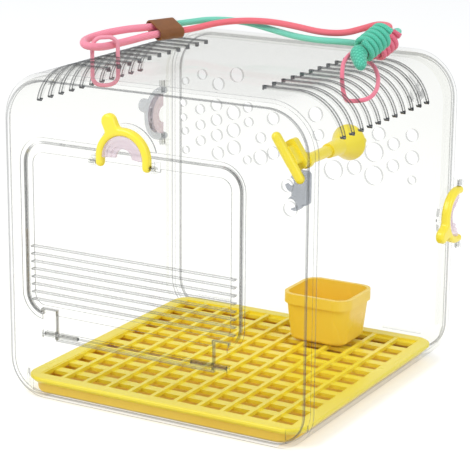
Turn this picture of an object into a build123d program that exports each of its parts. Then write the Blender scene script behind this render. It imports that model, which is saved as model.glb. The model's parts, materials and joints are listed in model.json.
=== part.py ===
from build123d import *
import os
from math import cos, radians, sin, sqrt, tan

# A clear travel carrier for a small bird. Millimetres, +Z up, the door faces -Y.
# The origin is on the ground, under the middle of the body.

# ---------------------------------------------------------------- body
BODY_WIDTH = 230.0
BODY_DEPTH = 220.5
BODY_HEIGHT = 223.0
WALL = 2.6
TOP_RADIUS = 33.4
FOOT_RADIUS = 26.5
EDGE_ROUND = 6.0

# The rear cover closes the open end of the body.
COVER_DEPTH = 15.0
SEAM_GAP = 0.3
LIP_REACH = 4.0
LIP_THICK = 1.6
LIP_CLEAR = 0.3
LIP_FOOT = 30.0

# Vent slots that run from the roof over each shoulder.
SLOT_COUNT = 11
SLOT_PITCH = 12.6
SLOT_WIDTH = 3.4
SLOT_ROW_MIDDLE = -6.0
SLOT_ROOF_REACH = 58.5
SLOT_DROP = 28.0

# ---------------------------------------------------------------- door
DOOR_WIDTH = 160.5
DOOR_MIDDLE = -15.75
DOOR_FOOT = 62.0
DOOR_TOP = BODY_HEIGHT - 45.5
DOOR_CORNER = 14.0
DOOR_GAP = 1.0
RIM_WIDTH = 6.0
RIM_PROUD = 0.8
BEZEL_WIDTH = 3.0
BEZEL_PROUD = 0.8
TONGUE_WIDTH = 118.5
TONGUE_MIDDLE = -14.25
LUG_WIDTH = 10.0
LUG_TOP = 64.5
HINGE_HEIGHT = 48.0
HINGE_SETBACK = 0.75
BARREL_RADIUS = 3.0
HINGE_PIN_RADIUS = 1.25
HINGE_PIN_LENGTH = 26.0
SILL_GAP = 1.1
SLIT_COUNT = 8
SLIT_PITCH = 5.2
SLIT_WIDTH = 1.2
SLIT_TOP = 107.3
SLIT_MARGIN = 3.2

# ---------------------------------------------------------------- latches
ARCH_OUTER = 19.8
ARCH_INNER = 14.8
ARCH_LIFT = 2.3
ARCH_THICK = 6.4
ARCH_ROUND = 2.2
TAB_ANGLE = 24.0
TAB_RADIUS = 5.0
TAB_REACH = 25.3
TAB_BLEND = 3.0
LATCH_PIN_DROP = 3.5
LATCH_PIN_RADIUS = 1.5
LATCH_PIN_SINK = 4.2
EAR_THICK = 4.2
EAR_GAP = 0.4
CATCH_RADIUS = 21.9
CATCH_THICK = 2.0
CATCH_START = 5.3
PIN_FIT = 0.03
RUNNING_FIT = 0.08
INSERT_FIT = 0.05
INSERT_BANDS = (14.75, 11.9, 9.1)
INSERT_HOLE = 6.2
INSERT_STEP = 1.0
INSERT_DEPTH = 4.6
CLOUD_PUFFS = ((12.3, -4.4, 2.3), (9.2, -3.6, 3.1), (6.2, -4.8, 2.1))
CLOUD_DEPTH = 4.6
CLOUD_ROUND = 0.8
FRONT_LATCH_X = -16.8
FRONT_LATCH_Z = DOOR_TOP - 1.3
SIDE_LATCH_AHEAD = 2.25
RIGHT_LATCH_Z = BODY_HEIGHT - 112.6
LEFT_LATCH_Z = BODY_HEIGHT - 67.0

# ---------------------------------------------------------------- rear vents
# Each is x, height above the perch, radius.
BUBBLES = (
    (-105.9, 30.4, 2.9), (-107.8, 13.6, 2.9), (-107.6, 2.4, 2.9), (-106.1, -7.8, 2.9),
    (-105.4, -22.4, 2.9), (-91.3, 36.7, 3.8), (-93.1, 10.2, 3.8), (-92.7, -1.7, 3.8),
    (-92.4, -13.8, 3.8), (-77.4, 31.0, 4.8), (-79.1, 14.9, 4.6), (-78.9, 3.6, 4.4),
    (-78.5, -8.0, 4.6), (-77.5, -21.6, 4.8), (-61.7, 39.3, 5.4), (-64.3, 10.7, 5.4),
    (-64.2, -2.6, 5.4), (-63.7, -15.9, 5.4), (-52.3, 15.9, 3.8), (-51.4, 5.0, 3.6),
    (-52.3, -23.8, 3.2), (-41.1, -5.7, 4.0), (-41.0, -20.5, 5.6), (-30.9, 10.0, 4.8),
    (-30.5, -16.0, 4.8), (3.7, 16.8, 5.6), (6.4, 2.0, 4.2), (19.1, -22.5, 7.2),
    (35.8, -18.5, 5.4), (51.1, -5.5, 7.0), (51.4, -22.6, 7.0), (54.4, 8.2, 5.0),
    (66.2, 2.3, 4.5), (66.2, -13.7, 4.5), (80.3, 10.2, 4.6), (80.9, -5.9, 5.0),
    (81.2, -22.2, 3.0), (-18.3, -39.2, 4.8), (-15.5, -56.4, 5.6),
)

# ---------------------------------------------------------------- floor
GRATE_SIDE_GAP = 6.4
GRATE_FRONT_GAP = 1.15
GRATE_REAR_GAP = 2.15
GRATE_RIM = 9.2
GRATE_WIDTH = BODY_WIDTH - 2 * (WALL + GRATE_SIDE_GAP)
GRATE_DEPTH = BODY_DEPTH - 2 * WALL - GRATE_FRONT_GAP - GRATE_REAR_GAP
GRATE_MIDDLE_Y = (GRATE_FRONT_GAP - GRATE_REAR_GAP) / 2
GRATE_FOOT = 9.5
GRATE_TOP = 14.0
GRATE_CORNER = 15.0
GRATE_UNDERCUT = 2.4
GRATE_ROUND = 1.2
MESH_COUNT = 11
MESH_WIDTH = GRATE_WIDTH - 2 * GRATE_RIM
MESH_DEPTH = GRATE_DEPTH - 2 * GRATE_RIM
SLAT_WIDTH = 7.0
SLAT_TOP = 12.0
BAR_WIDTH = 2.8
BAR_FOOT = 11.0
BAR_TOP = 13.7
TRAY_WIDTH = GRATE_WIDTH - 10.0
TRAY_DEPTH = GRATE_DEPTH - 6.0
TRAY_CORNER = 13.0
TRAY_WALL = 1.6
TRAY_SIDE_GAP = 0.6
SEAT_GAP = 0.3
FENCE_GAP = 0.8
FENCE_THICK = 1.4
FENCE_TOP = 15.6
FENCE_FROM = 18.0
FENCE_TO = 72.0
BEAD_RADIUS = 0.8
BEAD_LENGTH = 30.0
BEAD_MIDDLE = 78.0

# ---------------------------------------------------------------- food cup
CUP_X = 35.0
CUP_Y = 72.0
CUP_RIM_WIDTH = 53.0
CUP_RIM_DEPTH = 48.0
CUP_FOOT_WIDTH = 44.0
CUP_FOOT_DEPTH = 40.0
CUP_HEIGHT = 35.0
CUP_WALL = 1.8
CUP_RIM_CORNER = 10.0
CUP_FOOT_CORNER = 9.0
CUP_BAND_HEIGHT = 7.5
CUP_BAND_PROUD = 1.0
CUP_FOOT_ROUND = 3.0

# ---------------------------------------------------------------- perch
PERCH_X = 32.0
PERCH_Z = BODY_HEIGHT - 73.0
PERCH_TILT = -56.0
PERCH_BAR_LENGTH = 40.0
PERCH_BAR_RADIUS = 3.5
PERCH_BAR_Y = 25.0
PERCH_BAR_SHIFT = -6.0
PERCH_BAR_RISE = 4.0
STEM_RADIUS = 4.0
COLLAR_RADIUS = 5.6
COLLAR_LENGTH = 4.0
STUD_RADIUS = 2.5
FLANGE_RADIUS = 13.0
FLANGE_NECK = 5.2
FLANGE_LENGTH = 34.0
FLANGE_RIM = 2.0
NUT_RADIUS = 9.0
NUT_LENGTH = 7.0
NUT_LOBES = 6
GUSSET_LENGTH = 22.0
GUSSET_WIDTH = 13.0
GUSSET_THICK = 6.0
GUSSET_ROUND = 3.0
SADDLE_LENGTH = 14.0
SADDLE_WIDTH = 9.0
SADDLE_ROUND = 2.0
CLIP_THICK = 5.0
CLIP_LENGTH = 24.0
CLIP_WIDTH = 13.0

# ---------------------------------------------------------------- handle
THICK_CORD = 5.2
MAIN_CORD = 4.4
THIN_CORD = 2.8
WRAP_CORD = 3.8
WRAP_PITCH = 4.35
MINT_TURNS = 5
PINK_TURNS = 4
CORE_CLEAR = 0.4
HEAD_CLEAR = 0.6
HEAD_THICK = 2.5
HEAD_INSET = 0.6
HEAD_ROUND = 0.4
SLEEVE_MIDDLE = (-66.0, 15.0, 13.0)
SLEEVE_ALONG = (0.34, 0.94, 0.0)
SLEEVE_ACROSS = (0.84, -0.30, -0.45)
SLEEVE_LENGTH = 20.5
SLEEVE_WIDTH = 18.6
SLEEVE_WALL = 1.3
SLEEVE_SLACK = 0.4
STRAND_SPREAD = 4.2
MINT_KNOT_FOOT = (89.0, 3.8, 13.0)
PINK_KNOT_FOOT = (85.8, 31.0, 8.5)
KNOT_ALONG = (0.22, 0.89, 0.38)
MINT_WRAP_RADIUS = 6.6
PINK_WRAP_RADIUS = 5.8
STUB_RADIUS = 4.0
STUB_REACH = 0.6
STUB_END = (95.0, -8.5, 6.5)
ANCHOR_LEAD = 7.5
ANCHOR_CLEAR = 0.35
LEFT_RING_FRONT_X = -87.3
LEFT_RING_BACK_X = -75.0
LEFT_RING_RISE = 4.5
LEFT_RING_DROP = 10.5


# ================================================================ helpers
FRONT_Y = -BODY_DEPTH / 2
REAR_Y = BODY_DEPTH / 2
SEAM_Y = REAR_Y - COVER_DEPTH


def save(name, *solids):
    """Write one node; several equal pieces may share it."""
    shape = solids[0] if len(solids) == 1 else Compound(children=list(solids))
    export_step(shape, f"parts/{name}.step")


def upright(y):
    """Plane across the body at y: its x is +X, its y is +Z, and it faces -Y."""
    return Plane(origin=(0, y, 0), x_dir=(1, 0, 0), z_dir=(0, -1, 0))


def slab(face, front, back):
    """Extrude a face drawn in x and z so that it fills front to back in y."""
    return extrude(upright(back) * face, amount=back - front)


def body_face(inset):
    """The body's front view, drawn in by inset all round."""
    face = Pos(0, BODY_HEIGHT / 2) * Rectangle(BODY_WIDTH - 2 * inset, BODY_HEIGHT - 2 * inset)
    face = fillet(face.vertices().sort_by(Axis.Y)[-2:], TOP_RADIUS - inset)
    return fillet(face.vertices().sort_by(Axis.Y)[:2], FOOT_RADIUS - inset)


def block(x0, x1, y0, y1, z0, z1):
    """A box from its corners."""
    middle = Pos((x0 + x1) / 2, (y0 + y1) / 2, (z0 + z1) / 2)
    return middle * Box(x1 - x0, y1 - y0, z1 - z0)


def rod(start, direction, radius, length):
    """A round bar from start along direction."""
    return extrude(Plane(origin=start, z_dir=direction) * Circle(radius), amount=length)


def one_solid(shape):
    """The single solid of a result."""
    return shape.solids().sort_by(SortBy.VOLUME)[-1]


# ================================================================ body and cover
def body_outer():
    shape = slab(body_face(0), FRONT_Y, SEAM_Y)
    return fillet(shape.edges().group_by(Axis.Y)[0], EDGE_ROUND)


def body_hollow():
    shape = slab(body_face(WALL), FRONT_Y + WALL, SEAM_Y + 1)
    return fillet(shape.edges().group_by(Axis.Y)[0], EDGE_ROUND - WALL)


def slot_cutter(y):
    """One vent slot over the right shoulder."""
    inner_x = BODY_WIDTH / 2 - SLOT_ROOF_REACH + SLOT_WIDTH / 2
    lower_z = BODY_HEIGHT - SLOT_DROP + SLOT_WIDTH / 2
    beyond = 4 * WALL
    near, far = y - SLOT_WIDTH / 2, y + SLOT_WIDTH / 2
    corner = block(inner_x, BODY_WIDTH, near, far, lower_z, BODY_HEIGHT + beyond)
    corner -= slab(body_face(2 * WALL), y - SLOT_WIDTH, y + SLOT_WIDTH)
    roof_end = Pos(inner_x, y, BODY_HEIGHT) * Cylinder(SLOT_WIDTH / 2, 4 * WALL)
    side_end = Pos(BODY_WIDTH / 2, y, lower_z) * Rot(0, 90, 0) * Cylinder(SLOT_WIDTH / 2, 6 * WALL)
    return [corner, roof_end, side_end]


def slot_ys():
    first = SLOT_ROW_MIDDLE - SLOT_PITCH * (SLOT_COUNT - 1) / 2
    return [first + SLOT_PITCH * index for index in range(SLOT_COUNT)]


def door_face(grow):
    """The door's main panel, grown all round, without its tongue."""
    middle = Pos(DOOR_MIDDLE, (DOOR_FOOT + DOOR_TOP) / 2)
    width = DOOR_WIDTH + 2 * grow
    height = DOOR_TOP - DOOR_FOOT + 2 * grow
    return middle * RectangleRounded(width, height, DOOR_CORNER + grow)


def tongue_face(grow, foot):
    """The low middle part of the door, down to foot."""
    top = DOOR_FOOT + DOOR_CORNER
    return Pos(TONGUE_MIDDLE, (foot + top) / 2) * Rectangle(TONGUE_WIDTH + 2 * grow, top - foot)


def lug_middles():
    reach = TONGUE_WIDTH / 2 + DOOR_GAP + LUG_WIDTH / 2
    return [TONGUE_MIDDLE - reach, TONGUE_MIDDLE + reach]


def hinge_point(x):
    return (x, FRONT_Y + HINGE_SETBACK, HINGE_HEIGHT)


def hinge_lug(x):
    """An upright of the body that carries one end of the door's hinge."""
    foot = HINGE_HEIGHT - BARREL_RADIUS
    lug = block(x - LUG_WIDTH / 2, x + LUG_WIDTH / 2, FRONT_Y, FRONT_Y + WALL, foot, LUG_TOP)
    barrel = rod(hinge_point(x - LUG_WIDTH / 2), (1, 0, 0), BARREL_RADIUS, LUG_WIDTH)
    return lug + barrel


def pin_start(side):
    """Inner end of a hinge pin; side is -1 at the left lug and 1 at the right one."""
    lug = lug_middles()[0] if side < 0 else lug_middles()[1]
    return lug + side * (LUG_WIDTH / 2 - 1.0)


def hinge_pin_rod(side, extra):
    return rod(hinge_point(pin_start(side)), (-side, 0, 0), HINGE_PIN_RADIUS + extra, HINGE_PIN_LENGTH)


def corner_fence(side):
    """A low clear wall on the floor round one front corner of the grate."""
    centre_x = side * (GRATE_WIDTH / 2 - GRATE_CORNER)
    centre_y = GRATE_MIDDLE_Y - GRATE_DEPTH / 2 + GRATE_CORNER
    inner = GRATE_CORNER + FENCE_GAP
    start = -FENCE_TO if side > 0 else 180 + FENCE_FROM
    span = FENCE_TO - FENCE_FROM
    on_centre = (Align.NONE, Align.NONE, Align.MIN)
    outer = Cylinder(inner + FENCE_THICK, FENCE_TOP, arc_size=span, align=on_centre)
    hollow = Cylinder(inner, FENCE_TOP, align=on_centre)
    return Pos(centre_x, centre_y, 0) * (Rot(0, 0, start) * outer - hollow)


def body_shell():
    outer = body_outer()
    shell = outer - body_hollow()
    sill = HINGE_HEIGHT - BARREL_RADIUS - SILL_GAP
    opening = door_face(DOOR_GAP) + tongue_face(DOOR_GAP, sill)
    bezel = door_face(DOOR_GAP + BEZEL_WIDTH)
    between = TONGUE_WIDTH + 2 * DOOR_GAP + 2 * LUG_WIDTH
    bezel = bezel - Pos(TONGUE_MIDDLE, 0) * Rectangle(between, 2 * DOOR_FOOT)
    shell += slab(bezel, FRONT_Y - BEZEL_PROUD, FRONT_Y + WALL / 2)
    shell -= slab(opening, FRONT_Y - 2 * WALL, FRONT_Y + 2 * WALL)
    for x in lug_middles():
        shell += hinge_lug(x)
    for side in (-1, 1):
        shell -= hinge_pin_rod(side, PIN_FIT)
    for side in (-1, 1):
        shell += corner_fence(side) & outer
    cutters = []
    for y in slot_ys():
        right = slot_cutter(y)
        cutters += right
        cutters += [mirror(piece, about=Plane.YZ) for piece in right]
    return one_solid(shell - cutters)


def cover_lip():
    """The tongue of the cover that slides inside the body's open end."""
    outside = WALL + LIP_CLEAR
    ring = body_face(outside) - body_face(outside + LIP_THICK)
    ring -= Pos(0, LIP_FOOT / 2) * Rectangle(BODY_WIDTH, LIP_FOOT)
    lip = slab(ring, SEAM_Y - LIP_REACH, SEAM_Y + SEAM_GAP)
    root = body_face(WALL / 2) - body_face(outside + LIP_THICK)
    root -= Pos(0, LIP_FOOT / 2) * Rectangle(BODY_WIDTH, LIP_FOOT)
    return lip + slab(root, SEAM_Y + SEAM_GAP, SEAM_Y + SEAM_GAP + LIP_THICK)


def rear_bead(side):
    """A low bead on the cover behind the grate's rear edge."""
    start = (side * BEAD_MIDDLE - BEAD_LENGTH / 2, REAR_Y - WALL, FENCE_TOP)
    return rod(start, (1, 0, 0), BEAD_RADIUS, BEAD_LENGTH)


def rear_cover():
    shape = slab(body_face(0), SEAM_Y + SEAM_GAP, REAR_Y)
    shape = fillet(shape.edges().group_by(Axis.Y)[-1], EDGE_ROUND)
    hollow = slab(body_face(WALL), SEAM_Y - 1, REAR_Y - WALL)
    hollow = fillet(hollow.edges().group_by(Axis.Y)[-1], EDGE_ROUND - WALL)
    shape -= hollow
    shape += cover_lip()
    for side in (-1, 1):
        shape += rear_bead(side)
    vents = [(x, PERCH_Z + rise, radius) for x, rise, radius in BUBBLES]
    vents.append((PERCH_X, PERCH_Z, STUD_RADIUS + RUNNING_FIT))
    holes = [rod((x, REAR_Y + 1, z), (0, -1, 0), radius, WALL + 2) for x, z, radius in vents]
    shape -= holes
    for place in (right_latch_place(), left_latch_place()):
        shape += place * latch_ears()
        shape -= [place * pin for pin in latch_pin_rods(PIN_FIT)]
    return one_solid(shape)


# ================================================================ door
def door_panel():
    foot = HINGE_HEIGHT
    panel = slab(door_face(0) + tongue_face(0, foot), FRONT_Y, FRONT_Y + WALL)
    rim = slab(door_face(0) - door_face(-RIM_WIDTH), FRONT_Y - RIM_PROUD, FRONT_Y)
    panel += rim
    notch_front = FRONT_Y - 2 * WALL
    notch_back = FRONT_Y + 2 * WALL
    for x in lug_middles():
        half = LUG_WIDTH / 2 + DOOR_GAP
        panel -= block(x - half, x + half, notch_front, notch_back, 0, LUG_TOP + DOOR_GAP)
    barrel_start = TONGUE_MIDDLE - TONGUE_WIDTH / 2
    panel += rod(hinge_point(barrel_start), (1, 0, 0), BARREL_RADIUS, TONGUE_WIDTH)
    for side in (-1, 1):
        panel -= hinge_pin_rod(side, RUNNING_FIT)
    length = DOOR_WIDTH - 2 * SLIT_MARGIN
    slits = Sketch()
    for index in range(SLIT_COUNT):
        z = SLIT_TOP - SLIT_PITCH * index
        slits += Pos(DOOR_MIDDLE, z) * SlotOverall(length, SLIT_WIDTH)
    panel -= slab(slits, notch_front, notch_back)
    panel += front_latch_place() * latch_ears()
    panel -= [front_latch_place() * pin for pin in latch_pin_rods(PIN_FIT)]
    return one_solid(panel)


def door_hinge_pins():
    return [hinge_pin_rod(side, 0) for side in (-1, 1)]


# ================================================================ latches
# A latch is drawn with x along its pin, y towards the top of its arch and z
# away from the wall, with its arch centred on the origin.
def front_latch_place():
    origin = (FRONT_LATCH_X, FRONT_Y, FRONT_LATCH_Z)
    return Plane(origin=origin, x_dir=(1, 0, 0), z_dir=(0, -1, 0)).location


def right_latch_place():
    origin = (BODY_WIDTH / 2, SEAM_Y + SIDE_LATCH_AHEAD, RIGHT_LATCH_Z)
    return Plane(origin=origin, x_dir=(0, 0, 1), z_dir=(1, 0, 0)).location


def left_latch_place():
    origin = (-BODY_WIDTH / 2, SEAM_Y + SIDE_LATCH_AHEAD, LEFT_LATCH_Z)
    return Plane(origin=origin, x_dir=(0, 0, -1), z_dir=(-1, 0, 0)).location


def pin_height():
    return ARCH_LIFT + ARCH_THICK / 2


def latch_arch():
    """The arched lever with its finger tab and two legs."""
    face = Circle(ARCH_OUTER) - Pos(0, -ARCH_OUTER) * Rectangle(4 * ARCH_OUTER, 2 * ARCH_OUTER)
    neck = ARCH_INNER + (ARCH_OUTER - ARCH_INNER) / 2
    tab = Pos(0, (neck + TAB_REACH) / 2) * Rectangle(2 * TAB_RADIUS, TAB_REACH - neck)
    tab += Pos(0, TAB_REACH) * Circle(TAB_RADIUS)
    face += Rot(0, 0, TAB_ANGLE) * tab
    notches = [v for v in face.vertices() if abs((v.X**2 + v.Y**2) ** 0.5 - ARCH_OUTER) < 0.01 and v.Y > 1]
    face = fillet(notches, TAB_BLEND)
    face -= Circle(ARCH_INNER)
    leg_middle = (ARCH_OUTER + ARCH_INNER) / 2
    leg_width = ARCH_OUTER - ARCH_INNER
    for side in (-1, 1):
        face += Pos(side * leg_middle, -LATCH_PIN_DROP / 2) * Rectangle(leg_width, LATCH_PIN_DROP)
    arch = Pos(0, 0, ARCH_LIFT) * extrude(face, amount=ARCH_THICK)
    for side in (-1, 1):
        start = side * leg_middle - leg_width / 2
        arch += rod((start, -LATCH_PIN_DROP, pin_height()), (1, 0, 0), ARCH_THICK / 2, leg_width)
    outside = arch.edges().filter_by(lambda edge: edge.center().Z > pin_height() + 0.1)
    across_legs = outside.filter_by(lambda edge: abs(abs(edge.center().X) - leg_middle) < 0.1)
    arch = fillet([edge for edge in outside if edge not in across_legs], ARCH_ROUND)
    arch -= latch_pin_rods(RUNNING_FIT)
    return one_solid(arch)


def latch_insert():
    """The clear rainbow inside the arch, in three steps, with a cloud at each foot."""
    insert = None
    for index, radius in enumerate(INSERT_BANDS):
        band = Circle(radius) - Circle(INSERT_HOLE)
        band -= Pos(0, -radius) * Rectangle(2 * radius, 2 * radius)
        depth = INSERT_DEPTH - INSERT_STEP * index
        step = extrude(band, amount=depth)
        if index:
            inner_keep = extrude(Circle(INSERT_BANDS[index]), amount=INSERT_DEPTH)
            insert = (insert - inner_keep) + step
        else:
            insert = step
    insert = Pos(0, 0, ARCH_LIFT + 0.9) * insert
    for side in (-1, 1):
        for x, y, radius in CLOUD_PUFFS:
            puff = Cylinder(radius, CLOUD_DEPTH)
            puff = fillet(puff.edges().filter_by(GeomType.CIRCLE), CLOUD_ROUND)
            insert += Pos(side * x, y, pin_height()) * puff
    return one_solid(insert)


def latch_pin_rods(extra):
    """Two short pins, each through an ear and into a leg."""
    reach = ARCH_OUTER + EAR_GAP + EAR_THICK
    length = EAR_THICK + EAR_GAP + LATCH_PIN_SINK
    rods = []
    for side in (-1, 1):
        start = (side * reach, -LATCH_PIN_DROP, pin_height())
        rods.append(rod(start, (-side, 0, 0), LATCH_PIN_RADIUS + extra, length))
    return rods


def latch_ears():
    """Two ears that stand on the wall and hold the pins."""
    ears = None
    radius = ARCH_THICK / 2
    for side in (-1, 1):
        near = side * (ARCH_OUTER + EAR_GAP)
        far = side * (ARCH_OUTER + EAR_GAP + EAR_THICK)
        foot = block(min(near, far), max(near, far), -LATCH_PIN_DROP - radius, -LATCH_PIN_DROP + radius,
                     -WALL / 2, pin_height())
        top = rod((min(near, far), -LATCH_PIN_DROP, pin_height()), (1, 0, 0), radius, EAR_THICK)
        ear = foot + top
        ears = ear if ears is None else ears + ear
    return ears


def catch_plate():
    """The half-round plate under the arch, on the fixed side of the seam."""
    plate = Circle(CATCH_RADIUS)
    plate -= Pos(0, CATCH_START - CATCH_RADIUS) * Rectangle(2 * CATCH_RADIUS, 2 * CATCH_RADIUS)
    return one_solid(extrude(plate, amount=CATCH_THICK))


# ================================================================ floor pieces
def plan(width, depth, corner, middle_y):
    return Pos(0, middle_y) * RectangleRounded(width, depth, corner)


def mesh_gaps(bar_width, along_x):
    """Long gaps between parallel bars, over the whole mesh."""
    across = MESH_DEPTH if along_x else MESH_WIDTH
    pitch = across / MESH_COUNT
    gaps = Sketch()
    for index in range(MESH_COUNT):
        place = -across / 2 + pitch * (index + 0.5)
        if along_x:
            gaps += Pos(0, place) * Rectangle(MESH_WIDTH, pitch - bar_width)
        else:
            gaps += Pos(place, 0) * Rectangle(pitch - bar_width, MESH_DEPTH)
    return Pos(0, GRATE_MIDDLE_Y) * gaps


def floor_grate():
    outline = plan(GRATE_WIDTH, GRATE_DEPTH, GRATE_CORNER, GRATE_MIDDLE_Y)
    frame = Pos(0, 0, GRATE_FOOT) * extrude(outline, amount=GRATE_TOP - GRATE_FOOT)
    frame = chamfer(frame.edges().group_by(Axis.Z)[0], GRATE_UNDERCUT)
    frame = fillet(frame.edges().group_by(Axis.Z)[-1], GRATE_ROUND)
    frame -= Pos(0, GRATE_MIDDLE_Y, GRATE_TOP) * Box(MESH_WIDTH, MESH_DEPTH, 4 * GRATE_TOP)
    overlap = 1.0
    mat = Pos(0, GRATE_MIDDLE_Y) * Rectangle(MESH_WIDTH + overlap, MESH_DEPTH + overlap)
    slats = Pos(0, 0, GRATE_FOOT) * extrude(mat - mesh_gaps(SLAT_WIDTH, True), amount=SLAT_TOP - GRATE_FOOT)
    bars = Pos(0, 0, BAR_FOOT) * extrude(mat - mesh_gaps(BAR_WIDTH, False), amount=BAR_TOP - BAR_FOOT)
    return one_solid(frame + slats + bars)


def tray_block(inset, foot, top):
    """The tray's outer form, or its hollow when drawn in."""
    form = slab(body_face(WALL + TRAY_SIDE_GAP + inset), FRONT_Y, REAR_Y)
    outline = plan(TRAY_WIDTH - 2 * inset, TRAY_DEPTH - 2 * inset, TRAY_CORNER - inset, GRATE_MIDDLE_Y)
    return form & (Pos(0, 0, foot) * extrude(outline, amount=top - foot))


def waste_tray():
    foot = WALL + SEAT_GAP
    top = GRATE_FOOT - SEAT_GAP
    tray = tray_block(0, foot, top)
    tray -= tray_block(TRAY_WALL, foot + TRAY_WALL, top + 1)
    return one_solid(tray)


def cup_loft(inset, foot, top):
    low = RectangleRounded(CUP_FOOT_WIDTH - 2 * inset, CUP_FOOT_DEPTH - 2 * inset, CUP_FOOT_CORNER - inset)
    high = RectangleRounded(CUP_RIM_WIDTH - 2 * CUP_BAND_PROUD - 2 * inset,
                            CUP_RIM_DEPTH - 2 * CUP_BAND_PROUD - 2 * inset, CUP_RIM_CORNER - inset)
    return loft([Pos(0, 0, foot) * low, Pos(0, 0, top) * high])


def food_cup():
    cup = cup_loft(0, 0, CUP_HEIGHT)
    cup = fillet(cup.edges().group_by(Axis.Z)[0], CUP_FOOT_ROUND)
    band = RectangleRounded(CUP_RIM_WIDTH, CUP_RIM_DEPTH, CUP_RIM_CORNER + CUP_BAND_PROUD)
    cup += Pos(0, 0, CUP_HEIGHT - CUP_BAND_HEIGHT) * extrude(band, amount=CUP_BAND_HEIGHT)
    cup -= cup_loft(CUP_WALL, CUP_WALL, CUP_HEIGHT + 0.01)
    cup = Pos(CUP_X, CUP_Y, GRATE_TOP + SEAT_GAP) * cup
    return one_solid(cup)


# ================================================================ perch
def bar_middle():
    return (PERCH_X + PERCH_BAR_SHIFT, PERCH_BAR_Y, PERCH_Z + PERCH_BAR_RISE)


def bar_direction():
    angle = radians(PERCH_TILT)
    return (cos(angle), 0, sin(angle))


def perch_bar():
    """The round bar that the bird sits on, with rounded ends."""
    middle = Vector(*bar_middle())
    along = Vector(*bar_direction())
    run = PERCH_BAR_LENGTH - 2 * PERCH_BAR_RADIUS
    start = middle - along * (run / 2)
    end = middle + along * (run / 2)
    bar = rod(start, along, PERCH_BAR_RADIUS, run)
    bar += Pos(start) * Sphere(PERCH_BAR_RADIUS)
    bar += Pos(end) * Sphere(PERCH_BAR_RADIUS)
    return one_solid(bar)


def perch_stem():
    """The stem from the rear wall, with the gusset that grips the bar."""
    start_y = PERCH_BAR_Y + 2 * PERCH_BAR_RADIUS + 4
    shoulder = REAR_Y - WALL - FLANGE_LENGTH
    stem = rod((PERCH_X, start_y, PERCH_Z), (0, 1, 0), STEM_RADIUS, shoulder - SEAT_GAP - start_y)
    collar_y = start_y + 2
    stem += rod((PERCH_X, collar_y, PERCH_Z), (0, 1, 0), COLLAR_RADIUS, COLLAR_LENGTH)
    stud_end = REAR_Y + NUT_LENGTH - 1
    stem += rod((PERCH_X, start_y, PERCH_Z), (0, 1, 0), STUD_RADIUS, stud_end - start_y)
    along = Vector(*bar_direction())
    middle = Vector(*bar_middle())
    gusset_plane = Plane(origin=(middle.X, start_y + 3, middle.Z), x_dir=along, z_dir=(0, -1, 0))
    back_face = gusset_plane * RectangleRounded(GUSSET_LENGTH, GUSSET_WIDTH, GUSSET_ROUND)
    back = extrude(back_face, amount=GUSSET_THICK)
    saddle_face = gusset_plane * RectangleRounded(SADDLE_LENGTH, SADDLE_WIDTH, SADDLE_ROUND)
    saddle = extrude(saddle_face, amount=GUSSET_THICK + PERCH_BAR_RADIUS + 4)
    stem += back
    stem += saddle
    stem -= rod(middle - along * 40, along, PERCH_BAR_RADIUS + INSERT_FIT, 80)
    stem -= slab(Pos(middle.X, middle.Z) * Rectangle(60, 60), PERCH_BAR_Y - 30, PERCH_BAR_Y)
    return one_solid(stem)


def perch_flange():
    """The flared foot of the perch, against the inside of the rear wall."""
    face_y = REAR_Y - WALL
    neck_y = face_y - FLANGE_LENGTH
    profile = Polyline(
        (STUD_RADIUS + RUNNING_FIT, neck_y),
        (FLANGE_NECK, neck_y),
        (FLANGE_NECK + 1, neck_y + FLANGE_LENGTH / 2),
        (FLANGE_RADIUS, face_y - FLANGE_RIM),
        (FLANGE_RADIUS, face_y),
        (STUD_RADIUS + RUNNING_FIT, face_y),
        close=True,
    )
    solid = revolve(make_face(profile), Axis.Y, 360)
    return one_solid(Pos(PERCH_X, 0, PERCH_Z) * solid)


def perch_nut():
    """The lobed hand nut outside the rear wall."""
    face = Circle(NUT_RADIUS - 1.5)
    for index in range(NUT_LOBES):
        face += Rot(0, 0, 360 / NUT_LOBES * index) * Pos(NUT_RADIUS - 2.5, 0) * Circle(2.5)
    face -= Circle(STUD_RADIUS + RUNNING_FIT)
    nut = slab(Pos(PERCH_X, PERCH_Z) * face, REAR_Y + SEAT_GAP, REAR_Y + NUT_LENGTH)
    return one_solid(nut)


def perch_clip():
    """The smoky clear treat clip on the lower end of the bar."""
    along = Vector(*bar_direction())
    middle = Vector(*bar_middle())
    low = middle + along * (PERCH_BAR_LENGTH / 2 - 6)
    plate = Pos(low.X + 1.0, low.Z - CLIP_LENGTH / 2 + 3) * RectangleRounded(CLIP_WIDTH, CLIP_LENGTH, 3)
    plate += Pos(low.X - 5.0, low.Z - 7.0) * Circle(5.4)
    plate -= Pos(low.X - 7.4, low.Z - 5.4) * Circle(3.6)
    plate += Pos(low.X - 3.0, low.Z - CLIP_LENGTH + 4) * Circle(5.4)
    plate -= Pos(low.X - 5.8, low.Z - CLIP_LENGTH + 3.2) * Circle(3.6)
    front = PERCH_BAR_Y + 1
    clip = slab(plate, front, front + CLIP_THICK)
    clip -= rod(low - along * 40, along, PERCH_BAR_RADIUS + INSERT_FIT, 80)
    return one_solid(clip)


# ================================================================ handle
def on_roof(point):
    """A point given by its height above the roof."""
    return Vector(point[0], point[1], point[2] + BODY_HEIGHT)


def corner_radii(points):
    """Each corner as round as its two runs allow."""
    radii = []
    for before, corner, after in zip(points, points[1:], points[2:]):
        come = corner - before
        leave = after - corner
        turn = come.get_angle(leave)
        radii.append(0.45 * min(come.length, leave.length) / tan(radians(turn) / 2))
    return radii


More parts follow.
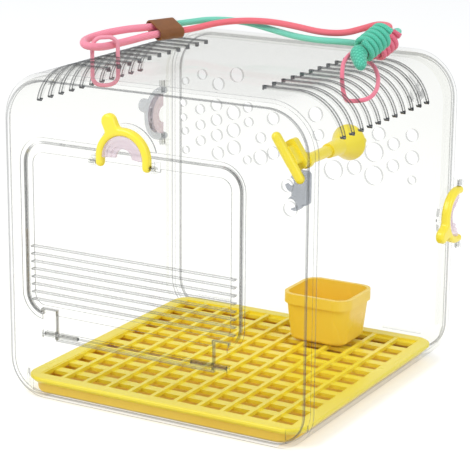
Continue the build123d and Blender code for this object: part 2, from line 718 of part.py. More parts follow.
def cord_tube(name, points, diameter):
    """A cord of round section along runs joined by tangent arcs."""
    radii = corner_radii(points)
    path = FilletPolyline(*points, radius=radii)
    tube = sweep(Plane(origin=path @ 0, z_dir=path % 0) * Circle(diameter / 2), path=path)
    section = 3.14159265 * diameter**2 / 4
    ratio = tube.volume / section / path.length
    print(name, "length", round(path.length, 1), "volume ratio", round(ratio, 4))
    print("   radii", [round(radius, 1) for radius in radii])
    return one_solid(tube)


def sleeve_plane():
    return Plane(origin=on_roof(SLEEVE_MIDDLE), x_dir=SLEEVE_ACROSS, z_dir=SLEEVE_ALONG)


def leather_sleeve():
    inner_thick = THICK_CORD + 2 * SLEEVE_SLACK
    inner_width = SLEEVE_WIDTH - 2 * SLEEVE_WALL
    outer_thick = inner_thick + 2 * SLEEVE_WALL
    outer = RectangleRounded(SLEEVE_WIDTH, outer_thick, outer_thick / 2 - 0.01)
    inner = RectangleRounded(inner_width, inner_thick, inner_thick / 2 - 0.01)
    band = extrude(sleeve_plane() * (outer - inner), amount=SLEEVE_LENGTH / 2, both=True)
    return one_solid(band)


def sleeve_point(across, along):
    """A point in the sleeve's mid-thickness."""
    plane = sleeve_plane()
    return plane.from_local_coords(Vector(across, 0, along))


END_LOOP_ROUTE = (
    (-80.0, -9.0, 15.2),
    (-89.0, -23.0, 13.7),
    (-95.4, -35.5, 11.4),
    (-92.8, -47.0, 10.5),
    (-86.4, -53.3, 9.4),
    (-80.2, -48.5, 8.3),
    (-80.6, -36.5, 7.1),
    (-80.4, -24.0, 7.1),
    (-77.5, -12.0, 7.8),
)


def end_loop():
    """The thick pink bight at the left end of the handle."""
    points = [sleeve_point(-STRAND_SPREAD, 0), sleeve_point(-STRAND_SPREAD, -15)]
    points += [on_roof(point) for point in END_LOOP_ROUTE]
    points += [sleeve_point(STRAND_SPREAD, -15), sleeve_point(STRAND_SPREAD, 0)]
    return cord_tube("end loop", points, THICK_CORD)


PINK_ROUTE = (
    (-42.0, 43.0, 15.5),
    (-22.0, 47.0, 18.5),
    (0.0, 46.5, 19.5),
    (22.0, 42.5, 18.5),
    (42.0, 38.5, 16.8),
    (58.0, 42.0, 17.0),
    (69.0, 46.5, 20.5),
    (80.0, 46.0, 24.5),
    (90.0, 40.0, 25.7),
)
MINT_ROUTE = (
    (-48.0, 49.0, 17.0),
    (-24.0, 53.5, 16.5),
    (0.0, 49.5, 13.2),
    (23.0, 40.5, 11.8),
    (43.0, 35.0, 12.0),
    (58.0, 37.5, 12.2),
    (67.5, 45.5, 10.5),
    (76.0, 54.5, 11.0),
    (83.0, 62.0, 16.5),
    (88.6, 60.8, 18.9),
)


def knot_end(foot, turns_length):
    """Where the main cord enters the far end of a knot."""
    return on_roof(foot) + Vector(*KNOT_ALONG).normalized() * turns_length


def wrap_length(turns):
    return turns * WRAP_PITCH + WRAP_CORD


def main_cord(name, across, route, foot, turns, lead):
    end = knot_end(foot, wrap_length(turns))
    ahead = end + Vector(*KNOT_ALONG).normalized() * lead
    points = [sleeve_point(across, 0), sleeve_point(across, 20)]
    points += [on_roof(point) for point in route]
    points += [ahead, end]
    return cord_tube(name, points, MAIN_CORD)


def knot_plane(foot):
    return Plane(origin=on_roof(foot), z_dir=KNOT_ALONG)


def biarc(start, start_way, end, end_way):
    """Two arcs that join two points with the given directions."""
    chord = end - start
    both = start_way + end_way
    spare = 2 * (1 - start_way.dot(end_way))
    along = chord.dot(both)
    reach = (-along + sqrt(along * along + spare * chord.dot(chord))) / spare
    middle = (start + end + (start_way - end_way) * reach) * 0.5
    middle_way = ((end - end_way * reach) - (start + start_way * reach)).normalized()
    first = Edge.make_tangent_arc(start, start_way, middle)
    second = Edge.make_tangent_arc(middle, middle_way, end)
    return [first, second]


def knot_wrap(name, foot, radius, turns):
    """One unbroken cord wound round the core, each half turn as a pair of arcs."""
    plane = knot_plane(foot)

    def place(angle):
        height = WRAP_CORD / 2 + WRAP_PITCH * angle / 360
        across = Vector(radius * cos(radians(angle)), radius * sin(radians(angle)), height)
        return plane.from_local_coords(across)

    def way(angle):
        rise = WRAP_PITCH / 360
        turn = radians(1) * radius
        local = Vector(-turn * sin(radians(angle)), turn * cos(radians(angle)), rise)
        tip = plane.from_local_coords(local)
        return (tip - plane.origin).normalized()

    first = place(0)
    last = place(360 * turns)
    edges = [Edge.make_line(first - way(0) * WRAP_CORD, first)]
    for half in range(2 * turns):
        edges += biarc(place(180 * half), way(180 * half), place(180 * half + 180), way(180 * half + 180))
    edges.append(Edge.make_line(last, last + way(360 * turns) * WRAP_CORD))
    path = Wire(edges)
    tube = sweep(Plane(origin=path @ 0, z_dir=path % 0) * Circle(WRAP_CORD / 2), path=path)
    points = [path @ (step / 700) for step in range(701)]
    spacing = path.length / 700
    skip = int(2.5 * WRAP_CORD / spacing)
    least = min((points[i] - points[j]).length for i in range(701) for j in range(i + skip, 701))
    print(name, "length", round(path.length, 1), "least gap to itself", round(least - WRAP_CORD, 3))
    return one_solid(tube)


def knot_core(foot, radius, turns):
    """What the wrap is wound on, with a head below it."""
    plane = knot_plane(foot)
    core_radius = radius - WRAP_CORD / 2 - CORE_CLEAR
    core = extrude(plane * Circle(core_radius), amount=wrap_length(turns))
    head = extrude(plane * Circle(radius + WRAP_CORD / 2 - HEAD_INSET), amount=-HEAD_THICK)
    head = fillet(head.edges().filter_by(GeomType.CIRCLE), HEAD_ROUND)
    neck = rod(plane.origin, -plane.z_dir, core_radius, HEAD_THICK)
    return core + Pos(plane.z_dir * -HEAD_CLEAR) * head + neck


def head_face(foot):
    """The middle of the lower face of a knot's head."""
    plane = knot_plane(foot)
    return plane.origin - plane.z_dir * (HEAD_THICK + HEAD_CLEAR)


def mint_core():
    """The mint knot's core and the stub of cord that ends below it."""
    way = knot_plane(MINT_KNOT_FOOT).z_dir
    face = head_face(MINT_KNOT_FOOT)
    start = face + way * HEAD_THICK
    bend = face - way * STUB_REACH
    end = on_roof(STUB_END)
    path = FilletPolyline(start, bend, end, radius=[STUB_RADIUS + 0.4])
    stub = sweep(Plane(origin=path @ 0, z_dir=path % 0) * Circle(STUB_RADIUS), path=path)
    core = knot_core(MINT_KNOT_FOOT, MINT_WRAP_RADIUS, MINT_TURNS)
    return one_solid(core + stub + Pos(end) * Sphere(STUB_RADIUS))


def pink_core():
    return one_solid(knot_core(PINK_KNOT_FOOT, PINK_WRAP_RADIUS, PINK_TURNS))


def left_anchor():
    """The thin pink ring through two roof slots that holds the handle's left end."""
    ys = slot_ys()
    front = Vector(LEFT_RING_FRONT_X, ys[2], 0)
    back = Vector(LEFT_RING_BACK_X, ys[3], 0)
    middle = (front + back) * 0.5
    radius = (back - front).length / 2
    low = Vector(0, 0, BODY_HEIGHT - LEFT_RING_DROP)
    high = Vector(0, 0, BODY_HEIGHT + LEFT_RING_RISE)
    legs = high.Z - low.Z
    turn = (back - front).cross(Vector(0, 0, 1)).normalized()
    section = Circle(THIN_CORD / 2)
    ring = rod(front + low, (0, 0, 1), THIN_CORD / 2, legs)
    ring += rod(back + low, (0, 0, 1), THIN_CORD / 2, legs)
    over = Axis(origin=middle + high, direction=turn)
    under = Axis(origin=middle + low, direction=turn)
    ring += revolve(Plane(origin=back + high, z_dir=(0, 0, 1)) * section, over, 180)
    ring += revolve(Plane(origin=back + low, z_dir=(0, 0, 1)) * section, under, -180)
    print("left anchor ring length", round(2 * legs + 2 * 3.14159 * radius, 1))
    return one_solid(ring)


RIGHT_ANCHOR_ROUTE = (
    (93.5, 14.0, 3.6),
    (101.5, 4.5, -1.8),
    (107.8, -9.5, -6.0),
    (110.8, -22.5, -8.8),
    (109.5, -31.2, -10.5),
    (98.0, -31.2, -12.5),
    (91.0, -21.5, -13.5),
    (87.2, -18.6, -7.5),
    (86.5, -18.6, 3.8),
)


def right_anchor():
    """The thin pink loop through the roof slots that holds the handle's right end."""
    way = knot_plane(MINT_KNOT_FOOT).z_dir
    side = way.cross(Vector(0, 0, 1)).normalized()
    start = head_face(PINK_KNOT_FOOT)
    end = head_face(MINT_KNOT_FOOT) - side * (STUB_RADIUS + THIN_CORD / 2 + ANCHOR_CLEAR)
    points = [start, start - way * ANCHOR_LEAD]
    points += [on_roof(point) for point in RIGHT_ANCHOR_ROUTE]
    points += [end - way * ANCHOR_LEAD, end]
    return cord_tube("right anchor loop", points, THIN_CORD)


# ================================================================ write every node
os.makedirs("parts", exist_ok=True)

save("body_shell", body_shell())
save("rear_cover", rear_cover())
save("door_panel", door_panel())
save("door_hinge_pins", *door_hinge_pins())

LATCHES = (
    ("front_latch", front_latch_place()),
    ("right_latch", right_latch_place()),
    ("left_latch", left_latch_place()),
)
for latch_name, latch_place in LATCHES:
    save(f"{latch_name}_arch", latch_place * latch_arch())
    save(f"{latch_name}_insert", latch_place * latch_insert())
    save(f"{latch_name}_pins", *[latch_place * pin for pin in latch_pin_rods(0)])
    save(f"{latch_name}_catch_plate", latch_place * catch_plate())

save("floor_grate", floor_grate())
save("waste_tray", waste_tray())
save("food_cup", food_cup())
save("perch_bar", perch_bar())
save("perch_stem", perch_stem())
save("perch_flange", perch_flange())
save("perch_nut", perch_nut())
save("perch_clip", perch_clip())

save("leather_sleeve", leather_sleeve())
save("handle_end_loop", end_loop())
pink_cord = main_cord("pink cord", STRAND_SPREAD, PINK_ROUTE, MINT_KNOT_FOOT, MINT_TURNS, 7.0)
mint_cord = main_cord("mint cord", -STRAND_SPREAD, MINT_ROUTE, PINK_KNOT_FOOT, PINK_TURNS, 6.2)
save("handle_cord_pink", pink_cord)
save("handle_cord_mint", mint_cord)
save("mint_knot_wrap", knot_wrap("mint wrap", MINT_KNOT_FOOT, MINT_WRAP_RADIUS, MINT_TURNS))
save("pink_knot_wrap", knot_wrap("pink wrap", PINK_KNOT_FOOT, PINK_WRAP_RADIUS, PINK_TURNS))
save("mint_knot_core", mint_core())
save("pink_knot_core", pink_core())
save("left_anchor_loop", left_anchor())
save("right_anchor_loop", right_anchor())
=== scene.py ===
# %% [markdown]
# # A clear travel carrier for a small bird
# The construction is packed already: this script loads it as a fixed frame and
# gives it its looks. Everything is in metres, with +Z up and the door facing -Y.
# We start with the frame. Every piece that is added has to stay in that box.

# %% Load the frame
import json
import math

import bmesh
import bpy
from mathutils import Matrix, Vector


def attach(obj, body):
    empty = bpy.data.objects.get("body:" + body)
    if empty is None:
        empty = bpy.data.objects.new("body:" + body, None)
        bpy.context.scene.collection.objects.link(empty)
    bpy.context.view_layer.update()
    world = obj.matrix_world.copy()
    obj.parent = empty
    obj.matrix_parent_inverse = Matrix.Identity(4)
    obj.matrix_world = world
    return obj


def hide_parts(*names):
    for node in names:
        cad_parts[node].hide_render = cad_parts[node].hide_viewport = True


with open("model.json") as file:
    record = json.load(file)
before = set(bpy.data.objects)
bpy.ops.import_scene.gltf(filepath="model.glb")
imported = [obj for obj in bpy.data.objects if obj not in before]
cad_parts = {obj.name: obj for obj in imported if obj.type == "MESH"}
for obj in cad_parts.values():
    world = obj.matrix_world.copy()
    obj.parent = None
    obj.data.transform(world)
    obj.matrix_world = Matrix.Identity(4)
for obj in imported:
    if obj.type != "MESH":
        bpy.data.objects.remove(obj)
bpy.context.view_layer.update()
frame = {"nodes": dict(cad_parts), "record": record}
nodes = frame["nodes"]
scene = bpy.context.scene
MM = 0.001

# %% [markdown]
# ## Camera
# The view is a long lens from the front right, a little above the roof. A camera
# is easiest to check when it is built from an azimuth, an elevation and a point
# that it looks at, so its three axes are worked out here and put into one matrix.

# %% Camera
CAMERA_AZIMUTH = math.radians(29.312)
CAMERA_ELEVATION = math.radians(15.463)
CAMERA_ROLL = math.radians(0.457)
CAMERA_TARGET = Vector((-3.44, 4.16, 100.14)) * MM
CAMERA_DISTANCE = 1303.6 * MM
CAMERA_LENS = 145.14
CAMERA_NEAR = 0.05


def make_camera():
    azimuth, elevation, roll = CAMERA_AZIMUTH, CAMERA_ELEVATION, CAMERA_ROLL
    back = Vector((
        math.sin(azimuth) * math.cos(elevation),
        -math.cos(azimuth) * math.cos(elevation),
        math.sin(elevation),
    ))
    level = Vector((math.cos(azimuth), math.sin(azimuth), 0))
    rise = back.cross(level)
    right = level * math.cos(roll) + rise * math.sin(roll)
    up = rise * math.cos(roll) - level * math.sin(roll)
    camera = bpy.data.objects.new("camera", bpy.data.cameras.new("camera"))
    scene.collection.objects.link(camera)
    turn = Matrix((right, up, back)).transposed()
    camera.matrix_world = Matrix.Translation(CAMERA_TARGET + back * CAMERA_DISTANCE) @ turn.to_4x4()
    camera.data.lens = CAMERA_LENS
    camera.data.clip_start = CAMERA_NEAR
    scene.camera = camera
    return camera


print("camera at", [round(value, 3) for value in make_camera().matrix_world.translation])

# %% [markdown]
# ## Small tools for materials
# Colours are written as the hex values that a paint program shows. Blender works
# with linear light, so one function turns them. A second function adds a node,
# sets its values and joins its inputs, which keeps each material short. The rest
# put together the few sums that several finishes need.

# %% Colour and node helpers
MATH = "ShaderNodeMath"


def srgb(code):
    """A hex colour such as #FFD400 as linear RGBA."""
    channels = [int(code[i:i + 2], 16) / 255 for i in (1, 3, 5)]
    linear = [c / 12.92 if c <= 0.04045 else ((c + 0.055) / 1.055) ** 2.4 for c in channels]
    return (*linear, 1.0)


def add(tree, kind, inputs=(), **settings):
    """A new node with its properties set, and its inputs given in order or by name.

    An input is a value, a socket to join, or a node, whose first output is joined.
    """
    node = tree.nodes.new(kind)
    for name, value in settings.items():
        setattr(node, name, value)
    for key, value in inputs.items() if isinstance(inputs, dict) else enumerate(inputs):
        if isinstance(value, bpy.types.Node):
            value = value.outputs[0]
        if isinstance(value, bpy.types.NodeSocket):
            tree.links.new(value, node.inputs[key])
        else:
            node.inputs[key].default_value = value
    return node


def between(tree, value, low, high):
    """1 where a value lies between two bounds, else 0."""
    above = add(tree, MATH, (value, low), operation="GREATER_THAN")
    below = add(tree, MATH, (value, high), operation="LESS_THAN")
    return add(tree, MATH, (above, below), operation="MULTIPLY")


def product(tree, first, *others):
    """All the values multiplied together, which joins masks of 0 and 1."""
    for other in others:
        first = add(tree, MATH, (first, other), operation="MULTIPLY")
    return first


def seen_directly(tree):
    """1 for rays from the camera, through clear pieces and off gloss, 0 for scattered light."""
    path = add(tree, "ShaderNodeLightPath")
    eye = (path.outputs["Is Camera Ray"], path.outputs["Is Transmission Ray"])
    seen = add(tree, MATH, eye, operation="MAXIMUM")
    return add(tree, MATH, (seen, path.outputs["Is Glossy Ray"]), operation="MAXIMUM")


def blank(name):
    """A material with an empty node tree."""
    material = bpy.data.materials.new(name)
    material.use_nodes = True
    material.node_tree.nodes.clear()
    return material


print("#FFD400 is", [round(value, 3) for value in srgb("#FFD400")], "in linear light")

# %% [markdown]
# ## Cords
# The handle is a rope of two colours. Its cords are flexible, so each is one NURBS
# line with a round bevel and, where it isn't wound, few control points: the line
# stays smooth however they are moved. The points are those of the solid cords, in
# millimetres above the roof, and three small functions place them.

# %% Places that the cords share
ROOF = 223.0
SLEEVE_MIDDLE = Vector((-66.0, 15.0, ROOF + 13.0))
SLEEVE_ALONG = Vector((0.34, 0.94, 0.0)).normalized()
SLEEVE_ACROSS = Vector((0.84, -0.30, -0.45)).normalized()
KNOT_ALONG = Vector((0.22, 0.89, 0.38)).normalized()
STRAND_SPREAD = 4.2
THICK_CORD, MAIN_CORD, THIN_CORD, WRAP_CORD = 5.2, 4.4, 2.8, 3.8


def on_roof(point):
    return Vector((point[0], point[1], point[2] + ROOF))


def sleeve_point(across, along):
    return SLEEVE_MIDDLE + SLEEVE_ACROSS * across + SLEEVE_ALONG * along


def knot_point(foot, along):
    return on_roof(foot) + KNOT_ALONG * along


print("sleeve at", [round(value, 1) for value in SLEEVE_MIDDLE], "mm")

# %% One cord as a NURBS line
def cord_line(name, points, diameter, widths=None):
    """A round cord along control points in millimetres; widths scales it at each point.

    The bevel is one metre and each point's radius shrinks it to the cord's own, so
    that the curve's box stays as small as the cord.
    """
    data = bpy.data.curves.new(name, "CURVE")
    data.dimensions = "3D"
    data.bevel_depth = 1.0
    data.bevel_resolution = 6
    data.resolution_u = 12
    data.use_fill_caps = True
    spline = data.splines.new("NURBS")
    spline.points.add(len(points) - 1)
    for index, point in enumerate(points):
        spline.points[index].co = (*(Vector(point) * MM), 1)
        spline.points[index].radius = diameter / 2 * MM * (widths[index] if widths else 1)
    spline.order_u = 3
    spline.use_endpoint_u = True
    cord = bpy.data.objects.new(name, data)
    scene.collection.objects.link(cord)
    return cord


def line_length(cord):
    """The length of a cord's middle line in metres, measured on the drawn curve."""
    depth = cord.data.bevel_depth
    cord.data.bevel_depth = 0
    bpy.context.view_layer.update()
    drawn = cord.evaluated_get(bpy.context.evaluated_depsgraph_get())
    mesh = bpy.data.meshes.new_from_object(drawn)
    cord.data.bevel_depth = depth
    places = [vertex.co for vertex in mesh.vertices]
    length = sum((b - a).length for a, b in zip(places, places[1:]))
    bpy.data.meshes.remove(mesh)
    return length


# %% Routes of the thick end loop and the two main cords
MINT_FOOT = (89.0, 3.8, 13.0)
PINK_FOOT = (85.8, 31.0, 8.5)
MINT_RADIUS, PINK_RADIUS = 6.6, 5.8
MINT_TURNS, PINK_TURNS = 5, 4
WRAP_PITCH = 4.35
MINT_LENGTH = MINT_TURNS * WRAP_PITCH + WRAP_CORD
PINK_LENGTH = PINK_TURNS * WRAP_PITCH + WRAP_CORD
# The steps between the two control points that lead a strand out of the sleeve or into a knot.
LOOP_LEAD, CORD_LEAD = 15.0, 20.0
INTO_MINT, INTO_PINK = 7.0, 6.2

END_LOOP = [sleeve_point(-STRAND_SPREAD, 0), sleeve_point(-STRAND_SPREAD, -LOOP_LEAD)]
END_LOOP += [on_roof(point) for point in (
    (-80.0, -9.0, 15.2), (-89.0, -23.0, 13.7), (-95.4, -35.5, 11.4), (-92.8, -47.0, 10.5),
    (-86.4, -53.3, 9.4), (-80.2, -48.5, 8.3), (-80.6, -36.5, 7.1), (-80.4, -24.0, 7.1),
    (-77.5, -12.0, 7.8),
)]
END_LOOP += [sleeve_point(STRAND_SPREAD, -LOOP_LEAD), sleeve_point(STRAND_SPREAD, 0)]

PINK_CORD = [sleeve_point(STRAND_SPREAD, 0), sleeve_point(STRAND_SPREAD, CORD_LEAD)]
PINK_CORD += [on_roof(point) for point in (
    (-42.0, 43.0, 15.5), (-22.0, 47.0, 18.5), (0.0, 46.5, 19.5), (22.0, 42.5, 18.5),
    (42.0, 38.5, 16.8), (58.0, 42.0, 17.0), (69.0, 46.5, 20.5), (80.0, 46.0, 24.5),
    (90.0, 40.0, 25.7),
)]
PINK_CORD += [knot_point(MINT_FOOT, MINT_LENGTH + INTO_MINT), knot_point(MINT_FOOT, MINT_LENGTH)]

MINT_CORD = [sleeve_point(-STRAND_SPREAD, 0), sleeve_point(-STRAND_SPREAD, CORD_LEAD)]
MINT_CORD += [on_roof(point) for point in (
    (-48.0, 49.0, 17.0), (-24.0, 53.5, 16.5), (0.0, 49.5, 13.2), (23.0, 40.5, 11.8),
    (43.0, 35.0, 12.0), (58.0, 37.5, 12.2), (67.5, 45.5, 10.5), (76.0, 54.5, 11.0),
    (83.0, 62.0, 16.5), (88.6, 60.8, 18.9),
)]
MINT_CORD += [knot_point(PINK_FOOT, PINK_LENGTH + INTO_PINK), knot_point(PINK_FOOT, PINK_LENGTH)]

print("control points:", {"end loop": len(END_LOOP), "pink": len(PINK_CORD), "mint": len(MINT_CORD)})

# %% Routes of the two thin anchors
HEAD_BELOW = 3.1
ANCHOR_LEAD = 7.5
ANCHOR_CLEAR = 0.35
STUB_RADIUS = 4.0

ANCHOR_SIDE = KNOT_ALONG.cross(Vector((0, 0, 1))).normalized()
ANCHOR_REACH = STUB_RADIUS + THIN_CORD / 2 + ANCHOR_CLEAR
ANCHOR_END = knot_point(MINT_FOOT, -HEAD_BELOW) - ANCHOR_SIDE * ANCHOR_REACH
RIGHT_ANCHOR = [knot_point(PINK_FOOT, -HEAD_BELOW), knot_point(PINK_FOOT, -HEAD_BELOW - ANCHOR_LEAD)]
RIGHT_ANCHOR += [on_roof(point) for point in (
    (93.5, 14.0, 3.6), (101.5, 4.5, -1.8), (107.8, -9.5, -6.0), (110.8, -22.5, -8.8),
    (109.5, -31.2, -10.5), (98.0, -31.2, -12.5), (91.0, -21.5, -13.5), (87.2, -18.6, -7.5),
    (86.5, -18.6, 3.8),
)]
RIGHT_ANCHOR += [ANCHOR_END - KNOT_ALONG * ANCHOR_LEAD, ANCHOR_END]

# The left anchor is a ring through two slots: up, over the roof, down and back under.
LEFT_FRONT, LEFT_BACK = Vector((-87.3, -43.8, 0)), Vector((-75.0, -31.2, 0))
LEFT_MIDDLE = (LEFT_FRONT + LEFT_BACK) / 2
LEFT_REACH = (LEFT_BACK - LEFT_FRONT).length / 2
LEFT_LOW, LEFT_HIGH = ROOF - 10.5, ROOF + 4.5
# The share of a round corner's radius that its two control points stand off by.
CORNER_SHARE = 0.55


def left_ring_points():
    """Control points of the ring, from the middle underneath round to it again."""
    way = (LEFT_BACK - LEFT_FRONT).normalized()
    corner = LEFT_REACH * CORNER_SHARE
    bottom, top = LEFT_LOW - LEFT_REACH, LEFT_HIGH + LEFT_REACH
    half = [
        (0, bottom), (corner, bottom), (LEFT_REACH, LEFT_LOW - corner), (LEFT_REACH, LEFT_LOW),
        (LEFT_REACH, LEFT_HIGH), (LEFT_REACH, LEFT_HIGH + corner), (corner, top), (0, top),
    ]
    run = half + [(-across, height) for across, height in reversed(half[:-1])]
    return [LEFT_MIDDLE + way * across + Vector((0, 0, height)) for across, height in run]


print("left ring reaches", round(LEFT_REACH, 2), "mm to each side")

# %% [markdown]
# ## The two knots
# Each end of the rope is wound tightly round itself, like the barrel of a gallows
# knot. A winding is a helix, so its control points come from a loop: sixteen to a
# turn keep the line round, and a straight end of one diameter starts and ends it.

# %% Helix points
POINTS_PER_TURN = 16


def knot_axes():
    """Two directions across the knots' line."""
    first = KNOT_ALONG.orthogonal().normalized()
    return first, KNOT_ALONG.cross(first)


def winding_points(foot, radius, turns):
    """Control points of a winding; a NURBS line runs inside them, so they stand off a little."""
    across, over = knot_axes()
    outside = radius / math.cos(math.pi / POINTS_PER_TURN) ** 2
    points = []
    for step in range(turns * POINTS_PER_TURN + 1):
        angle = 2 * math.pi * step / POINTS_PER_TURN
        along = WRAP_CORD / 2 + WRAP_PITCH * step / POINTS_PER_TURN
        reach = across * math.cos(angle) + over * math.sin(angle)
        points.append(knot_point(foot, along) + reach * outside)
    first = (points[0] - points[1]).normalized()
    last = (points[-1] - points[-2]).normalized()
    return [points[0] + first * WRAP_CORD] + points + [points[-1] + last * WRAP_CORD]


# %% Draw the cords
def make_cords():
    drawn = (
        ("handle_end_loop_cord", END_LOOP, THICK_CORD),
        ("handle_pink_cord", PINK_CORD, MAIN_CORD),
        ("handle_mint_cord", MINT_CORD, MAIN_CORD),
        ("right_anchor_cord", RIGHT_ANCHOR, THIN_CORD),
        ("left_anchor_cord", left_ring_points(), THIN_CORD),
        ("mint_winding", winding_points(MINT_FOOT, MINT_RADIUS, MINT_TURNS), WRAP_CORD),
        ("pink_winding", winding_points(PINK_FOOT, PINK_RADIUS, PINK_TURNS), WRAP_CORD),
    )
    made = {}
    for name, points, diameter in drawn:
        made[name] = cord_line(name, points, diameter)
        print(name, "length", round(line_length(made[name]) / MM, 1), "mm")
    return made


cords = make_cords()

# %% The cords inside the knots and the loose stub
CORE_CLEAR = 0.4
MINT_CORE = MINT_RADIUS - WRAP_CORD / 2 - CORE_CLEAR
PINK_CORE = PINK_RADIUS - WRAP_CORD / 2 - CORE_CLEAR
STUB_END = (95.0, -8.5, 6.5)
STUB_TURN = 0.45
STUB_TIP = 2.5
# Places along a knot's line where its core starts to swell into the head.
NECK, MOUTH = 2.0, -1.0
STUB_WIDTHS = (1.0, 1.0, 1.0, 1.4, 1.3, 1.1, 0.95, 0.45)
HEART_WIDTHS = (1.0, 1.0, 1.3, 1.1)


def make_cores():
    """The line inside each winding, which comes out below as a cord's end."""
    inside = (MINT_LENGTH, MINT_LENGTH / 2, NECK, MOUTH, -HEAD_BELOW)
    mint = [knot_point(MINT_FOOT, along) for along in inside]
    tip = on_roof(STUB_END)
    outward = (tip - mint[-1]).normalized()
    mint += [mint[-1].lerp(tip, STUB_TURN), tip, tip + outward * STUB_TIP]
    stub = cord_line("mint_knot_stub", mint, 2 * MINT_CORE, STUB_WIDTHS)
    inside = (PINK_LENGTH, PINK_LENGTH / 2, NECK, -HEAD_BELOW)
    pink = [knot_point(PINK_FOOT, along) for along in inside]
    heart = cord_line("pink_knot_heart", pink, 2 * PINK_CORE, HEART_WIDTHS)
    return stub, heart


mint_stub, pink_heart = make_cores()
print("core radii", round(MINT_CORE, 2), "and", round(PINK_CORE, 2), "mm")

# %% What each cord is, rides on and stands for
CORD_FACTS = (
    ("handle_end_loop_cord", "handle_end_loop", THICK_CORD, "loose"),
    ("handle_pink_cord", "handle_cord_pink", MAIN_CORD, "loose"),
    ("handle_mint_cord", "handle_cord_mint", MAIN_CORD, "loose"),
    ("right_anchor_cord", "right_anchor_loop", THIN_CORD, "loose"),
    ("left_anchor_cord", "left_anchor_loop", THIN_CORD, "loose"),
    ("mint_winding", "mint_knot_wrap", WRAP_CORD, "coiled"),
    ("pink_winding", "pink_knot_wrap", WRAP_CORD, "coiled"),
)
CORE_FACTS = (
    (mint_stub, "mint_knot_core", "mint_cord"),
    (pink_heart, "pink_knot_core", "pink_cord"),
)


def declare_cords():
    for name, node, diameter, lay in CORD_FACTS:
        cord = cords[name]
        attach(cord, "body")
        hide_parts(node)
        line_length(cord)


def declare_cores():
    for piece, node, finish in CORE_FACTS:
        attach(piece, "body")
        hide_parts(node)


declare_cords()
declare_cores()
print("declared", len(CORD_FACTS), "cords and", len(CORE_FACTS), "cores")

# %% [markdown]
# ## Light
# A studio for a clear object is mostly white: the floor, the background and the
# sky all shine softly. The Light Path node lets the world look white to the eye
# and in the plastic, while it lights the object at a plain level.

# %% World and lamps
SKY_LIGHT = 0.62
LAMP_AIM = Vector((0, 0, 0.1))
CLEAR_FACES = 32


def make_world():
    world = bpy.data.worlds.new("studio")
    world.use_nodes = True
    scene.world = world
    tree = world.node_tree
    tree.nodes.clear()
    white = add(tree, "ShaderNodeBackground", {"Color": srgb("#FFFFFF"), "Strength": 1.0})
    light = add(tree, "ShaderNodeBackground", {"Color": srgb("#FBFDFF"), "Strength": SKY_LIGHT})
    mix = add(tree, "ShaderNodeMixShader", (seen_directly(tree), light, white))
    add(tree, "ShaderNodeOutputWorld", {"Surface": mix})


def lamp(name, place, size, power):
    data = bpy.data.lights.new(name, "AREA")
    data.shape = "RECTANGLE"
    data.size, data.size_y = size
    data.energy = power
    light = bpy.data.objects.new(name, data)
    scene.collection.objects.link(light)
    light.location = place
    aim = LAMP_AIM - Vector(place)
    light.rotation_euler = aim.to_track_quat("-Z", "Y").to_euler()


make_world()
lamp("key", (-0.7, -1.1, 1.5), (0.9, 0.9), 16)
lamp("side", (1.3, -0.3, 1.0), (0.5, 1.1), 7)
scene.view_settings.view_transform = "Standard"
# A line of sight can cross more than a dozen clear faces, and past the limit it turns black.
scene.cycles.transparent_max_bounces = CLEAR_FACES
print("world and two lamps")

# %% Floor
FLOOR_REACH = 3.0
FLOOR_GLOW = 0.35


def make_floor():
    mesh = bpy.data.meshes.new("floor")
    form = bmesh.new()
    bmesh.ops.create_grid(form, x_segments=1, y_segments=1, size=FLOOR_REACH)
    form.to_mesh(mesh)
    form.free()
    floor = bpy.data.objects.new("floor", mesh)
    scene.collection.objects.link(floor)
    material = blank("painted_studio_floor")
    tree = material.node_tree
    paint = add(tree, "ShaderNodeBsdfDiffuse", {"Color": srgb("#F4F4F4")})
    glow = add(tree, "ShaderNodeEmission", {"Color": srgb("#FFFFFF"), "Strength": FLOOR_GLOW})
    both = add(tree, "ShaderNodeAddShader", (paint, glow))
    mix = add(tree, "ShaderNodeMixShader", (seen_directly(tree), paint, both))
    add(tree, "ShaderNodeOutputMaterial", {"Surface": mix})
    mesh.materials.append(material)


make_floor()
print("floor reaches", FLOOR_REACH, "m")

# %% [markdown]
# ## Clear polycarbonate, injection moulded
# The box is a polished moulding. Its thin clear walls are drawn with painted shade, which
# stands in for the dark refractions and reflections of real clear plastic, in three
# things only: a faint painted veil of grey, a darker painted line wherever a surface
# turns away from the eye, and painted grey on the cut edges where the wall is pierced.
# Each of them raises the share of a glossy surface, whose grey is painted shade, that
# is mixed over a fully transparent surface, so no ray is bent and the shadow stays light.

# %% Where the painted shade on the cut edges goes
FRONT_WALL = (-111.4 * MM, -107.4 * MM)
FRONT_LIP = -109.5 * MM
REAR_WALL = (107.4 * MM, 110.6 * MM)
SHOULDER = (81.6 * MM, 189.6 * MM)
SHOULDER_RADIUS = 33.4 * MM
WALL = 2.6 * MM
SLOT_ROWS = (-90 * MM, 80 * MM)
SLOT_DEPTH = (-WALL, 0.3 * WALL)
SLOT_LIP = -0.35 * WALL
SLOT_ROOF_END = (56.3 * MM, 58.4 * MM)
SLOT_SIDE_END = (194.8 * MM, 196.9 * MM)
ROOF_LOW = 220 * MM
# A face's lean is the share of its normal along Y: 0 on the roof and sides, 1 on front and rear.
CUT_LEAN = 0.3
FLANK_LEAN = 0.999
# The two bands of lean that get thin painted grey lines along the rounded brinks.
BRINK_LEANS = ((0.04, 0.2), (0.93, 0.992))
# The short sides of the slots lean this little along the axis that they should be square to.
END_LEAN = 0.2
# The shares of the full painted shade that are left away from a cut's outer lip.
HOLE_INSIDE = 0.65
SLOT_INSIDE = 0.2


